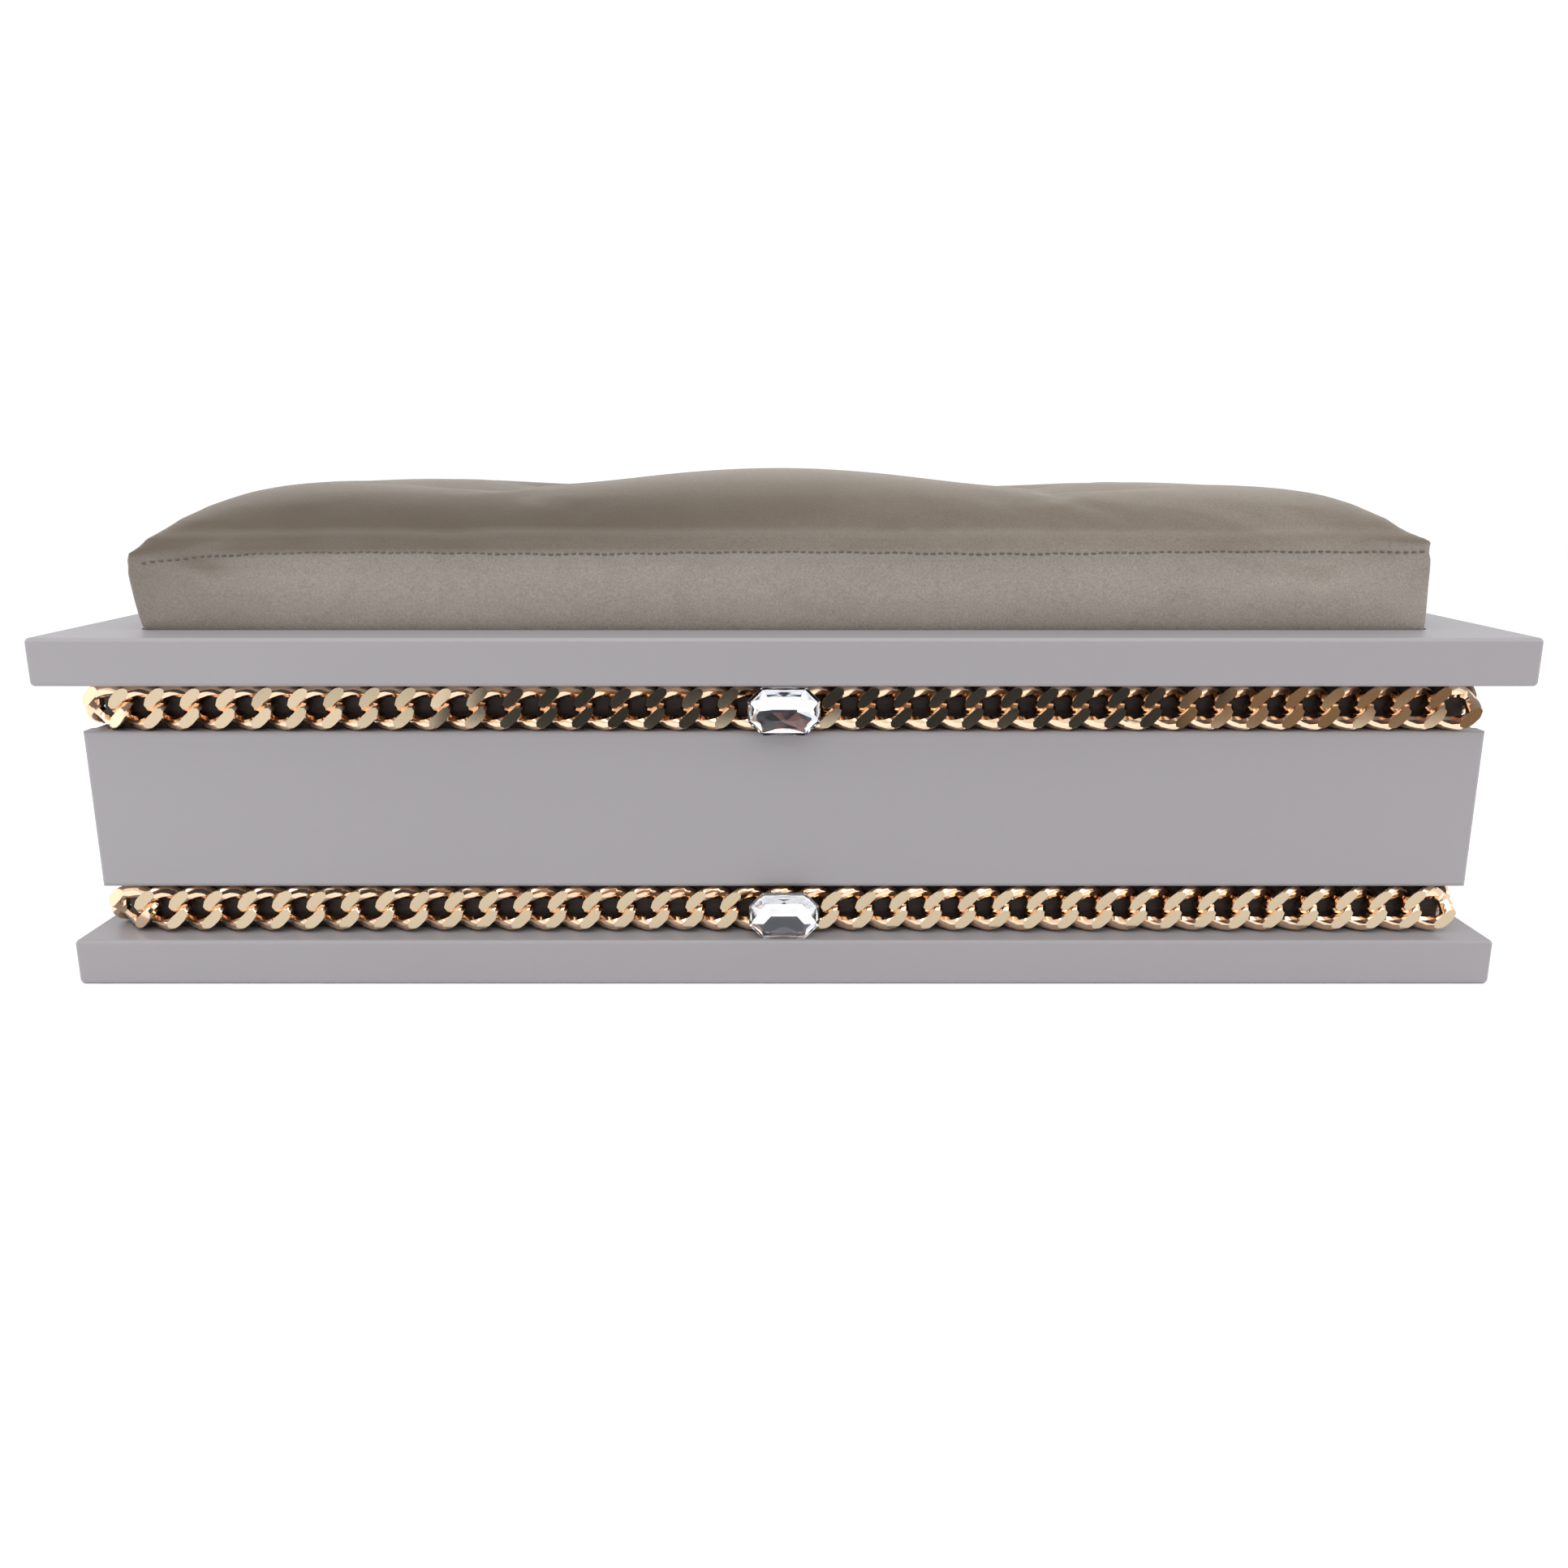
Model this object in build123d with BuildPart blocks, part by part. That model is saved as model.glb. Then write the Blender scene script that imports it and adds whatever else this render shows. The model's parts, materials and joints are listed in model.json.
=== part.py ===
from build123d import *
import os

os.makedirs("parts", exist_ok=True)

# Jewellery chest, millimetres. X is the width, -Y the front, +Z up, origin under the middle.
# The stack is read as 18 mm board, which sets every other size.
board = 18.0
case_w = 534.0
case_d = 358.0
lid_w = 556.0
lid_d = 380.0
base_w = 552.0
base_d = 376.0
band = 19.0
felt_t = 1.0
felt_edge = 16.0
block_h = 62.0
core = 12.0
skin = 8.0
arris = 1.8
strip_t = 1.5
strip_over = 1.2
gap = 0.5

# levels up the stack
base_top = board
block_bot = base_top + band
block_top = block_bot + block_h
lid_bot = block_top + band
lid_top = lid_bot + board

# inside of the case
face_x = case_w / 2
face_y = case_d / 2
core_out = face_x - skin
core_in = core_out - core
back_out = face_y - skin
back_in = back_out - core
front_core = -face_y + skin
front_in = front_core + core
side_len = back_out - front_core - gap
side_mid = (back_out + front_core + gap) / 2
back_top = lid_bot - 2.0

# horizontal boards
dust_bot = 37.5
dust_t = 4.0
tray_bot = 91.0
tray_t = 4.0
shelf_y0 = front_in + 1.0
shelf_len = back_in - shelf_y0
shelf_mid = (back_in + shelf_y0) / 2

# drawers
travel = 220.0
side_t = 10.0
box_end = 141.0
box_back_t = 8.0
box_len = box_end - front_in
box_mid = (box_end + front_in) / 2
upper_z0 = 43.0
upper_z1 = 88.0
upper_x = core_in - 1.5
lower_z0 = 19.0
lower_z1 = 35.5
lower_x = core_in - 1.0
bottom_t = 3.0
groove_h = 8.8
groove_z = 65.0
runner_h = 8.0
runner_len = 300.0
stop_t = 12.0
stop_w = 400.0
stop_y = box_end - box_back_t - travel - 0.6 - stop_t / 2

# linings, dividers and ring rolls
liner_t = 2.0
tray_liner_h = 19.0
divider_t = 4.0
divider_h = 30.0
roll_r = 7.0
roll_pad_t = 4.0
roll_pitch = 16.0
roll_count = 9
roll_w = 130.0

# chain: flat links laid like shingles, then cut flat front and back
chain_h = 18.2
chain_t = 6.5
link_half = 11.25
link_wire = 4.0
link_t = 2.8
link_tilt = 16.0
link_reach = 11.5
front_run = 18
side_run = 25

# octagonal pulls
gem_w = 27.0
gem_h = 18.2
gem_cut = 5.2
gem_front = -187.5
girdle_y = -184.0
pavilion_y = -183.0
gem_back = -179.6
stem_r = 2.0
nut_r = 4.5
nut_t = 3.0
cup_scale = 0.72
crown_taper = 42
pavilion_taper = 40
upper_pull_z = block_top + 9.3
lower_pull_z = base_top + 9.5

# hinges
hinge_x = 170.0
pin_y = face_y + 3.2
pin_z = lid_bot - 3.5
pin_r = 1.2
pin_play = 0.05
knuckle_r = 3.2
leaf_w = 40.0
leaf_t = 1.4
leaf_h = 18.0
lid_leaf_t = 1.5
middle = 15.4
hinge_screw_r = 1.4
hinge_screw_spread = 12.0
hinge_screw_z = 102.0
hinge_screw_y = 170.0
sink_r = 2.7
sink_deep = 1.3
hinge_bite = 14.0
lid_bite = 12.0

# cushion, mirror
pad_w = 494.0
pad_d = 328.0
pad_side = 38.0
pad_rise = 62.0
seat_deep = 3.0
seat_play = 1.5
ply_w = 480.0
ply_d = 314.0
ply_t = 5.0
button_x = 120.0
button_y = 75.0
button_r = 11.0
button_z = lid_top + 49.0
mirror_w = 418.0
mirror_d = 258.0
mirror_t = 3.0


def save(piece, name):
    piece.part.label = name
    export_step(piece.part, "parts/" + name + ".step")


# Fixings first
screw_r = 1.8
screw_len = 31.0
screw_head_r = 3.6
screw_head_t = 3.0
screw_head_z = 2.0
screw_pitch = 130.0
screw_span = 2 * (core_in + core / 2)
with BuildPart() as base_screws:
    with BuildSketch(Plane.XY.offset(screw_head_z + screw_head_t)):
        with GridLocations(screw_span, screw_pitch, 2, 3):
            Circle(screw_r)
    extrude(amount=screw_len)
    with BuildSketch(Plane.XY.offset(screw_head_z)):
        with GridLocations(screw_span, screw_pitch, 2, 3):
            Circle(screw_head_r)
    extrude(amount=screw_head_t)
save(base_screws, "base_screws")

hinge_spots = [
    sx * hinge_x + dx for sx in (-1, 1) for dx in (-hinge_screw_spread, hinge_screw_spread)
]
with BuildPart() as hinge_base_screws:
    for sx in hinge_spots:
        with BuildSketch(Plane.XZ.offset(-pin_y + knuckle_r - leaf_t)):
            with Locations((sx, hinge_screw_z)):
                Circle(sink_r)
        extrude(amount=sink_deep, taper=45)
        with BuildSketch(Plane.XZ.offset(-pin_y + knuckle_r - leaf_t)):
            with Locations((sx, hinge_screw_z)):
                Circle(hinge_screw_r)
        extrude(amount=hinge_bite)
save(hinge_base_screws, "hinge_base_screws")

with BuildPart() as hinge_lid_screws:
    for sx in hinge_spots:
        with BuildSketch(Plane.XY.offset(lid_bot - lid_leaf_t)):
            with Locations((sx, hinge_screw_y)):
                Circle(sink_r)
        extrude(amount=sink_deep, taper=45)
        with BuildSketch(Plane.XY.offset(lid_bot - lid_leaf_t)):
            with Locations((sx, hinge_screw_y)):
                Circle(hinge_screw_r)
        extrude(amount=lid_bite)
save(hinge_lid_screws, "hinge_lid_screws")

# Case
with BuildPart() as base_slab:
    Box(base_w, base_d, board, align=(Align.CENTER, Align.CENTER, Align.MIN))
    fillet(base_slab.edges(), radius=arris)
    with BuildSketch(Plane.XY):
        RectangleRounded(base_w - felt_edge, base_d - felt_edge, 4)
    extrude(amount=felt_t, mode=Mode.SUBTRACT)
    with BuildSketch(Plane.XY.offset(felt_t)):
        with GridLocations(screw_span, screw_pitch, 2, 3):
            Circle(screw_head_r)
    extrude(amount=screw_head_z - felt_t, mode=Mode.SUBTRACT)
    add(base_screws.part, mode=Mode.SUBTRACT)
save(base_slab, "base_slab")

with BuildPart() as base_felt:
    with BuildSketch(Plane.XY):
        RectangleRounded(base_w - felt_edge - 0.6, base_d - felt_edge - 0.6, 3.7)
    extrude(amount=felt_t)
save(base_felt, "base_felt")

for side, sx in (("left", -1), ("right", 1)):
    with BuildPart() as side_core:
        with Locations((sx * (core_in + core / 2), side_mid, base_top)):
            Box(core, side_len, lid_bot - gap - base_top, align=(Align.CENTER, Align.CENTER, Align.MIN))
        add(base_screws.part, mode=Mode.SUBTRACT)
    save(side_core, "side_core_" + side)

    with BuildPart() as side_panel:
        with Locations((sx * (core_out + skin / 2), side_mid, block_bot)):
            Box(skin, side_len, block_h, align=(Align.CENTER, Align.CENTER, Align.MIN))
        outer = side_panel.faces().sort_by(Axis.X)[0 if sx < 0 else -1]
        fillet(outer.edges().filter_by(Axis.Y), radius=arris)
    save(side_panel, "side_panel_" + side)

    with BuildPart() as runner:
        with Locations((sx * (core_in - 2.8), 0, groove_z)):
            Box(5.6, runner_len, runner_h)
        fillet(runner.edges().filter_by(Axis.Z), radius=1.5)
    save(runner, "upper_runner_" + side)

with BuildPart() as back_core:
    with Locations((0, back_in + core / 2, base_top)):
        Box(2 * core_in, core, back_top - base_top, align=(Align.CENTER, Align.CENTER, Align.MIN))
    add(hinge_base_screws.part, mode=Mode.SUBTRACT)
save(back_core, "back_core")

with BuildPart() as back_panel:
    with Locations((0, back_out + skin / 2, base_top)):
        Box(case_w, skin, back_top - base_top, align=(Align.CENTER, Align.CENTER, Align.MIN))
    fillet(back_panel.faces().sort_by(Axis.Y)[-1].edges(), radius=arris)
    add(hinge_base_screws.part, mode=Mode.SUBTRACT)
save(back_panel, "back_panel")

with BuildPart() as dust_board:
    with Locations((0, shelf_mid, dust_bot)):
        Box(2 * core_in, shelf_len, dust_t, align=(Align.CENTER, Align.CENTER, Align.MIN))
save(dust_board, "dust_board")

with BuildPart() as tray_floor:
    with Locations((0, shelf_mid, tray_bot)):
        Box(2 * core_in, shelf_len, tray_t, align=(Align.CENTER, Align.CENTER, Align.MIN))
save(tray_floor, "tray_floor")

for level, z, drop in (("upper", tray_bot, 5.5), ("lower", dust_bot, 3.5)):
    with BuildPart() as stop:
        with Locations((0, stop_y, z)):
            Box(stop_w, stop_t, drop, align=(Align.CENTER, Align.CENTER, Align.MAX))
        fillet(stop.edges().filter_by(Axis.Z), radius=3)
    save(stop, level + "_stop")

rail_h = lid_bot - 1.5 - tray_bot - tray_t
with BuildPart() as tray_rail:
    with Locations((0, shelf_y0 + 4, tray_bot + tray_t)):
        Box(2 * core_in, 8, rail_h, align=(Align.CENTER, Align.CENTER, Align.MIN))
    fillet(tray_rail.faces().sort_by(Axis.Z)[-1].edges().filter_by(Axis.X), radius=1)
save(tray_rail, "tray_front_rail")

tray_y0 = shelf_y0 + 8
tray_len = back_in - tray_y0
tray_mid = (back_in + tray_y0) / 2
with BuildPart() as tray_lining:
    with BuildSketch(Plane.XY.offset(tray_bot + tray_t)):
        with Locations((0, tray_mid)):
            Rectangle(2 * core_in, tray_len)
    extrude(amount=tray_liner_h)
    with BuildSketch(Plane.XY.offset(tray_bot + tray_t + liner_t)):
        with Locations((0, tray_mid)):
            Rectangle(2 * (core_in - liner_t), tray_len - 2 * liner_t)
    extrude(amount=tray_liner_h, mode=Mode.SUBTRACT)
save(tray_lining, "tray_lining")

roll_floor = tray_bot + tray_t + liner_t
roll_y = tray_y0 + liner_t + 1 + roll_r
roll_x = -(core_in - liner_t - 1 - roll_w / 2)
with BuildPart() as ring_rolls:
    with Locations((roll_x, roll_y + roll_pitch * (roll_count - 1) / 2, roll_floor)):
        Box(roll_w, roll_pitch * (roll_count - 1) + 2 * roll_r, roll_pad_t,
            align=(Align.CENTER, Align.CENTER, Align.MIN))
    with BuildSketch(Plane.YZ.offset(roll_x - roll_w / 2)):
        for i in range(roll_count):
            with Locations((roll_y + i * roll_pitch, roll_floor + roll_r)):
                Circle(roll_r)
    extrude(amount=roll_w)
save(ring_rolls, "ring_rolls")

# Hinges
for side, sx in (("left", -1), ("right", 1)):
    with BuildPart() as base_leaf:
        with BuildSketch(Plane.YZ.offset(sx * hinge_x - leaf_w / 2)):
            with Locations((pin_y, pin_z)):
                Circle(knuckle_r)
        extrude(amount=leaf_w)
        with Locations((sx * hinge_x, face_y + leaf_t / 2, pin_z)):
            Box(leaf_w, leaf_t, leaf_h, align=(Align.CENTER, Align.CENTER, Align.MAX))
        with Locations((sx * hinge_x, pin_y, pin_z)):
            Box(middle + 0.6, 9, 7.4, mode=Mode.SUBTRACT)
        with BuildSketch(Plane.YZ.offset(sx * hinge_x - leaf_w / 2)):
            with Locations((pin_y, pin_z)):
                Circle(pin_r)
        extrude(amount=leaf_w, mode=Mode.SUBTRACT)
        add(hinge_base_screws.part, mode=Mode.SUBTRACT)
    save(base_leaf, "hinge_base_leaf_" + side)

    with BuildPart() as lid_leaf:
        with BuildSketch(Plane.YZ.offset(sx * hinge_x - middle / 2)):
            with Locations((pin_y, pin_z)):
                Circle(knuckle_r)
        extrude(amount=middle)
        with Locations((sx * hinge_x, pin_y, lid_bot)):
            Box(middle, 10, lid_leaf_t, align=(Align.CENTER, Align.MAX, Align.MAX))
        with Locations((sx * hinge_x, pin_y - 3.8, lid_bot)):
            Box(leaf_w, leaf_h, lid_leaf_t, align=(Align.CENTER, Align.MAX, Align.MAX))
        with BuildSketch(Plane.YZ.offset(sx * hinge_x - middle / 2)):
            with Locations((pin_y, pin_z)):
                Circle(pin_r + pin_play)
        extrude(amount=middle, mode=Mode.SUBTRACT)
        add(hinge_lid_screws.part, mode=Mode.SUBTRACT)
    save(lid_leaf, "hinge_lid_leaf_" + side)

with BuildPart() as hinge_pins:
    for sx in (-1, 1):
        with BuildSketch(Plane.YZ.offset(sx * hinge_x - leaf_w / 2 - 0.6)):
            with Locations((pin_y, pin_z)):
                Circle(pin_r)
        extrude(amount=leaf_w + 1.2)
save(hinge_pins, "hinge_pins")

# Lid
with BuildPart() as lid_slab:
    with Locations((0, 0, lid_bot)):
        Box(lid_w, lid_d, board, align=(Align.CENTER, Align.CENTER, Align.MIN))
    fillet(lid_slab.edges(), radius=arris)
    with BuildSketch(Plane.XY.offset(lid_top - seat_deep)):
        RectangleRounded(pad_w + 2 * seat_play, pad_d + 2 * seat_play, 6)
    extrude(amount=seat_deep, mode=Mode.SUBTRACT)
    with BuildSketch(Plane.XY.offset(lid_bot)):
        Rectangle(mirror_w + 1, mirror_d + 1)
    extrude(amount=4, mode=Mode.SUBTRACT)
    add(hinge_lid_screws.part, mode=Mode.SUBTRACT)
save(lid_slab, "lid_slab")

with BuildPart() as mirror:
    with BuildSketch(Plane.XY.offset(lid_bot)):
        Rectangle(mirror_w, mirror_d)
    extrude(amount=mirror_t)
    chamfer(mirror.faces().sort_by(Axis.Z)[0].edges(), length=1)
save(mirror, "mirror")

with BuildPart() as mirror_trim:
    with BuildSketch(Plane.XY.offset(lid_bot - 1.2)):
        RectangleRounded(mirror_w + 12, mirror_d + 12, 4)
        Rectangle(mirror_w - 8, mirror_d - 8, mode=Mode.SUBTRACT)
    extrude(amount=1.2)
save(mirror_trim, "mirror_trim")

pad_z0 = lid_top - seat_deep
with BuildPart() as cushion_board:
    with BuildSketch(Plane.XY.offset(pad_z0)):
        RectangleRounded(ply_w, ply_d, 5)
    extrude(amount=ply_t)
save(cushion_board, "cushion_board")

crest = lid_top + pad_rise
shoulder = lid_top + pad_side
sag = crest - shoulder
bend_x = (pad_w ** 2 / 4 + sag ** 2) / (2 * sag)
bend_y = (pad_d ** 2 / 4 + sag ** 2) / (2 * sag)
with BuildPart() as cushion:
    with BuildSketch(Plane.XY.offset(pad_z0)):
        RectangleRounded(pad_w, pad_d, 6)
    extrude(amount=crest - pad_z0)
    with BuildSketch(Plane.XZ):
        with Locations((0, crest - bend_x)):
            Circle(bend_x)
    extrude(amount=pad_d, both=True, mode=Mode.INTERSECT)
    with BuildSketch(Plane.YZ):
        with Locations((0, crest - bend_y)):
            Circle(bend_y)
    extrude(amount=pad_w, both=True, mode=Mode.INTERSECT)
    with BuildSketch(Plane.XY.offset(button_z)):
        with GridLocations(2 * button_x, 2 * button_y, 2, 2):
            Circle(button_r + 1)
    extrude(amount=30, taper=-35, mode=Mode.SUBTRACT)
    add(cushion_board.part, mode=Mode.SUBTRACT)
save(cushion, "cushion")

with BuildPart() as cushion_buttons:
    with BuildSketch(Plane.XY.offset(button_z)):
        with GridLocations(2 * button_x, 2 * button_y, 2, 2):
            Circle(button_r)
    extrude(amount=4.5)
    fillet(cushion_buttons.faces().sort_by(Axis.Z)[-4:].edges(), radius=3)
save(cushion_buttons, "cushion_buttons")

# Chain
with BuildPart() as front_link:
    with BuildSketch(Plane.XZ.offset(-link_t / 2)):
        Ellipse(link_half, chain_h / 2)
        Ellipse(link_half - link_wire, chain_h / 2 - link_wire, mode=Mode.SUBTRACT)
    extrude(amount=link_t)
tilted = Rot(0, 0, -link_tilt) * front_link.part
link = tilted & Box(60, chain_t, 60)
side_link = Rot(0, 0, 90) * link

front_y = -face_y + chain_t / 2
front_x0 = 12 + link_reach
front_step = (core_out + 0.8 - link_reach - front_x0) / (front_run - 1)
side_y0 = -face_y + link_reach
side_step = (back_out - link_reach - side_y0) / (side_run - 1)

for level, z in (("upper", block_top), ("lower", base_top + 0.4)):
    with BuildPart() as front_chain:
        for sx in (-1, 1):
            for i in range(front_run):
                with Locations((sx * (front_x0 + i * front_step), front_y, z + chain_h / 2)):
                    add(link)
    save(front_chain, level + "_chain")

for level, z in (("upper", block_top), ("lower", base_top)):
    with BuildPart() as side_chains:
        for sx in (-1, 1):
            for i in range(side_run):
                with Locations((sx * (face_x - chain_t / 2), side_y0 + i * side_step, z + chain_h / 2)):
                    add(side_link)
    save(side_chains, level + "_side_chains")

# Pulls
gem_pts = [
    (gem_w / 2, gem_h / 2 - gem_cut),
    (gem_w / 2 - gem_cut, gem_h / 2),
    (-gem_w / 2 + gem_cut, gem_h / 2),
    (-gem_w / 2, gem_h / 2 - gem_cut),
    (-gem_w / 2, -gem_h / 2 + gem_cut),
    (-gem_w / 2 + gem_cut, -gem_h / 2),
    (gem_w / 2 - gem_cut, -gem_h / 2),
    (gem_w / 2, -gem_h / 2 + gem_cut),
]
cup_pts = [(px * cup_scale, pz * cup_scale) for px, pz in gem_pts]

for level, z in (("upper", upper_pull_z), ("lower", lower_pull_z)):
    with BuildPart() as crystal:
        with BuildSketch(Plane.XZ.offset(-pavilion_y)):
            with Locations((0, z)):
                Polygon(*gem_pts, align=None)
        extrude(amount=pavilion_y - girdle_y)
        with BuildSketch(Plane.XZ.offset(-girdle_y)):
            with Locations((0, z)):
                Polygon(*gem_pts, align=None)
        extrude(amount=girdle_y - gem_front, taper=crown_taper)
        with BuildSketch(Plane(origin=(0, pavilion_y, z), x_dir=(1, 0, 0), z_dir=(0, 1, 0))):
            Polygon(*gem_pts, align=None)
        extrude(amount=gem_back - pavilion_y, taper=pavilion_taper)
    save(crystal, level + "_pull_crystal")

    with BuildPart() as cup:
        with BuildSketch(Plane.XZ.offset(-front_core + strip_t)):
            with Locations((0, z)):
                Polygon(*cup_pts, align=None)
        extrude(amount=front_core - strip_t - gem_back)
        with BuildSketch(Plane.XZ.offset(-front_in + 1)):
            with Locations((0, z)):
                Circle(stem_r)
        extrude(amount=front_in - 1 - front_core + strip_t)
    save(cup, level + "_pull_cup")

    with BuildPart() as nut:
        with BuildSketch(Plane.XZ.offset(-front_in + 1.5)):
            with Locations((0, z)):
                RegularPolygon(nut_r, 6)
                Circle(stem_r, mode=Mode.SUBTRACT)
        extrude(amount=nut_t)
    save(nut, level + "_pull_nut")

    strip_h = chain_h if level == "upper" else chain_h - 0.2
    strip_z = (block_top if level == "upper" else base_top + 0.5)
    with BuildPart() as strip:
        with Locations((0, front_core, strip_z)):
            Box(2 * (core_out + strip_over), strip_t, strip_h, align=(Align.CENTER, Align.MAX, Align.MIN))
        with BuildSketch(Plane.XZ.offset(-front_core)):
            with Locations((0, z)):
                Circle(stem_r)
        extrude(amount=strip_t, mode=Mode.SUBTRACT)
    save(strip, level + "_chain_strip")

# Upper drawer
with BuildPart() as upper_panel:
    with Locations((0, -face_y, block_bot)):
        Box(case_w, skin, block_h, align=(Align.CENTER, Align.MIN, Align.MIN))
    fillet(upper_panel.faces().sort_by(Axis.Y)[0].edges(), radius=arris)
save(upper_panel, "upper_front_panel")

for level, z0, z1, z in (
    ("upper", dust_bot, lid_bot - 1, upper_pull_z),
    ("lower", base_top + 0.6, block_bot - 0.6, lower_pull_z),
):
    with BuildPart() as front_board:
        with Locations((0, front_core, z0)):
            Box(2 * core_in - 2, core, z1 - z0, align=(Align.CENTER, Align.MIN, Align.MIN))
        with BuildSketch(Plane.XZ.offset(-front_core)):
            with Locations((0, z)):
                Circle(stem_r)
        extrude(amount=-core, mode=Mode.SUBTRACT)
        with BuildSketch(Plane.XZ.offset(-front_in)):
            with Locations((0, z)):
                Circle(nut_r + 1)
        extrude(amount=nut_t + 1.5, mode=Mode.SUBTRACT)
    save(front_board, level + "_front_core")

for level, bx, z0, z1 in (("upper", upper_x, upper_z0, upper_z1), ("lower", lower_x, lower_z0, lower_z1)):
    for side, sx in (("left", -1), ("right", 1)):
        with BuildPart() as box_side:
            with Locations((sx * (bx - side_t / 2), box_mid, z0)):
                Box(side_t, box_len, z1 - z0, align=(Align.CENTER, Align.CENTER, Align.MIN))
            if level == "upper":
                with Locations((sx * bx, box_end, groove_z)):
                    Box(10, box_len - 7, groove_h, align=(Align.CENTER, Align.MAX, Align.CENTER),
                        mode=Mode.SUBTRACT)
        save(box_side, level + "_side_" + side)

    inner_x = bx - side_t
    with BuildPart() as box_back:
        with Locations((0, box_end, z0)):
            Box(2 * inner_x, box_back_t, z1 - z0, align=(Align.CENTER, Align.MAX, Align.MIN))
    save(box_back, level + "_back")

    inner_len = box_len - box_back_t
    with BuildPart() as box_bottom:
        with Locations((0, front_in, z0)):
            Box(2 * inner_x, inner_len, bottom_t, align=(Align.CENTER, Align.MIN, Align.MIN))
    save(box_bottom, level + "_bottom")

    liner_h = 36.0 if level == "upper" else 10.0
    with BuildPart() as box_liner:
        with Locations((0, front_in, z0 + bottom_t)):
            Box(2 * inner_x, inner_len, liner_h, align=(Align.CENTER, Align.MIN, Align.MIN))
        with Locations((0, front_in + liner_t, z0 + bottom_t + liner_t)):
            Box(2 * (inner_x - liner_t), inner_len - 2 * liner_t, liner_h,
                align=(Align.CENTER, Align.MIN, Align.MIN), mode=Mode.SUBTRACT)
    save(box_liner, level + "_lining")

inner_x = upper_x - side_t - liner_t
inner_y0 = front_in + liner_t
inner_len = box_end - box_back_t - liner_t - inner_y0
div_z = upper_z0 + bottom_t + liner_t
with BuildPart() as divider_long:
    with Locations((0, inner_y0 + inner_len / 2, div_z)):
        Box(2 * inner_x, divider_t, divider_h, align=(Align.CENTER, Align.CENTER, Align.MIN))
    slot_z = div_z + divider_h / 2
    with Locations((-inner_x / 3, inner_y0, slot_z), (inner_x / 3, inner_y0, slot_z)):
        Box(divider_t, inner_len, divider_h / 2, align=(Align.CENTER, Align.MIN, Align.MIN),
            mode=Mode.SUBTRACT)
save(divider_long, "upper_divider_long")

for side, sx in (("left", -1), ("right", 1)):
    with BuildPart() as divider:
        with Locations((sx * inner_x / 3, inner_y0, div_z)):
            Box(divider_t, inner_len, divider_h, align=(Align.CENTER, Align.MIN, Align.MIN))
        with Locations((0, inner_y0 + inner_len / 2, div_z)):
            Box(2 * inner_x, divider_t, divider_h / 2, align=(Align.CENTER, Align.CENTER, Align.MIN),
                mode=Mode.SUBTRACT)
    save(divider, "upper_divider_" + side)
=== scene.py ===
import json
import math
import random
import bpy
from mathutils import Matrix, Vector


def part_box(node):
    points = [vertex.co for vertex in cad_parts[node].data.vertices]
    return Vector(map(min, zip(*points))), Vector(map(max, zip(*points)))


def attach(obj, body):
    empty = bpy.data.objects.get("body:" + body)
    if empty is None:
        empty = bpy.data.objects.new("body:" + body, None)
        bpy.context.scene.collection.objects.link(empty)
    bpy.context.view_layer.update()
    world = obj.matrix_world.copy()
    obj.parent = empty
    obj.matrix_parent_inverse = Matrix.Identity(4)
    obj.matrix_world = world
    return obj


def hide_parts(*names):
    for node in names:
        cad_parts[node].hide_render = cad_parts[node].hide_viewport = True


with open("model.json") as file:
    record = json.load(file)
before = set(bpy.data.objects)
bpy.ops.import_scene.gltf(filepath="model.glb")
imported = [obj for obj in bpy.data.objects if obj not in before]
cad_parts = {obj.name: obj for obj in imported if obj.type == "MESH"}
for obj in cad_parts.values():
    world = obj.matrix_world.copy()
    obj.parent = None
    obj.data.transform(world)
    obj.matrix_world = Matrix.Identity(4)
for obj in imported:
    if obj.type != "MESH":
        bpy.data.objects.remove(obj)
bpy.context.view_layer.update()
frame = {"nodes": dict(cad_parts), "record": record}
print("frame loaded:", len(frame["nodes"]), "nodes")
scene = bpy.context.scene
mm = 0.001


# shader helpers: sums on values become Math nodes
class Value:
    def __init__(self, tree, socket):
        self.tree = tree
        self.socket = socket

    def sum(self, operation, other=0.0, flip=False):
        node = self.tree.nodes.new("ShaderNodeMath")
        node.operation = operation
        pair = (other, self) if flip else (self, other)
        for place, item in zip(node.inputs, pair):
            if isinstance(item, Value):
                self.tree.links.new(item.socket, place)
            else:
                place.default_value = item
        return Value(self.tree, node.outputs[0])

    def __add__(self, other): return self.sum("ADD", other)
    def __radd__(self, other): return self.sum("ADD", other, True)
    def __sub__(self, other): return self.sum("SUBTRACT", other)
    def __rsub__(self, other): return self.sum("SUBTRACT", other, True)
    def __mul__(self, other): return self.sum("MULTIPLY", other)
    def __rmul__(self, other): return self.sum("MULTIPLY", other, True)
    def __truediv__(self, other): return self.sum("DIVIDE", other)
    def __pow__(self, other): return self.sum("POWER", other)
    def size(self): return self.sum("ABSOLUTE")
    def below(self, other): return self.sum("LESS_THAN", other)
    def most(self, other): return self.sum("MAXIMUM", other)
    def least(self, other): return self.sum("MINIMUM", other)


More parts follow.
